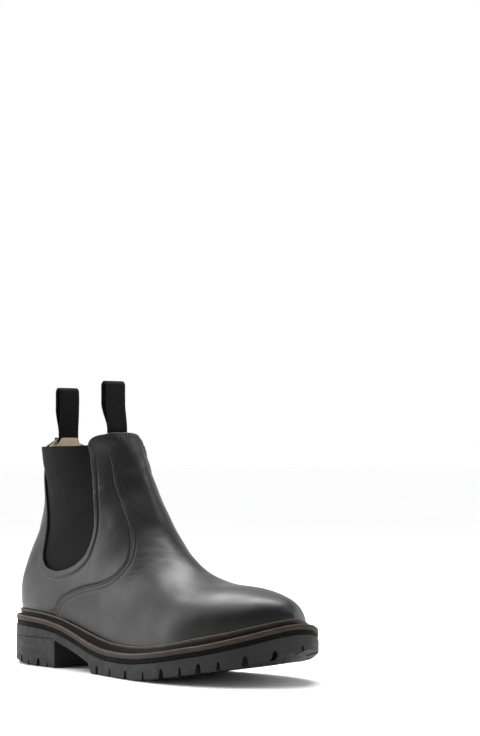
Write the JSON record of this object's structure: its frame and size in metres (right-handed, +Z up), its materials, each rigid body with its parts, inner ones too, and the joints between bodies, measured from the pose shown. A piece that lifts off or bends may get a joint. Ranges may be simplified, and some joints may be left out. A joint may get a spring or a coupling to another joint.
{
  "type": "chelsea boot",
  "caption": "Ankle-high pull-on leather boot with elastic side gores, pull tabs at the front and back of the collar, and a lugged rubber sole with a storm welt.",
  "frame": {"origin": "centre of the bounding box in plan, at the bottom of the tread", "axes": "+X towards the toe, +Y towards the medial (inner) side, +Z up"},
  "size_m": [0.305, 0.1122, 0.217],
  "materials": {
    "black_leather": "smooth, semi-gloss",
    "black_elastic": "matte ribbed elastic",
    "black_webbing": "ribbed grosgrain weave",
    "beige_lining": "matte",
    "stiffener": "matte",
    "leather_board": "matte",
    "cork": "granular, matte",
    "shank_steel": "rolled",
    "welt_rubber": "satin",
    "sole_rubber": "matte moulded",
    "welt_thread": "waxed thread"
  },
  "bodies": {
    "boot": {"vamp": "black_leather", "vamp_lining": "beige_lining", "toe_puff": "stiffener", "back_strip": "black_leather", "heel_counter": "stiffener", "heel_grip_lining": "beige_lining", "lateral_quarter": "black_leather", "lateral_quarter_lining": "beige_lining", "lateral_gore": "black_elastic", "medial_quarter": "black_leather", "medial_quarter_lining": "beige_lining", "medial_gore": "black_elastic", "front_tab_sewn_end": "black_webbing", "back_tab_sewn_end": "black_webbing", "footbed": "beige_lining", "insole_board": "leather_board", "shank": "shank_steel", "cork_filler": "cork", "welt": "welt_rubber", "welt_thread": "welt_thread", "midsole": "sole_rubber", "outsole": "sole_rubber", "heel_block": "sole_rubber"},
    "front_tab": {"front_pull_tab": "black_webbing"},
    "back_tab": {"back_pull_tab": "black_webbing"}
  },
  "joints": [
    {"name": "front_tab_fold", "type": "hinge", "parent": "boot", "child": "front_tab", "pos_m": [-0.04194, -0.00341, 0.18], "axis": [0, 1, 0], "range_deg": [-75, 75], "stiffness_Nm_per_rad": 0.02},
    {"name": "back_tab_fold", "type": "hinge", "parent": "boot", "child": "back_tab", "pos_m": [-0.11602, 0.00473, 0.1765], "axis": [0, -1, 0], "range_deg": [-75, 75], "stiffness_Nm_per_rad": 0.02}
  ]
}
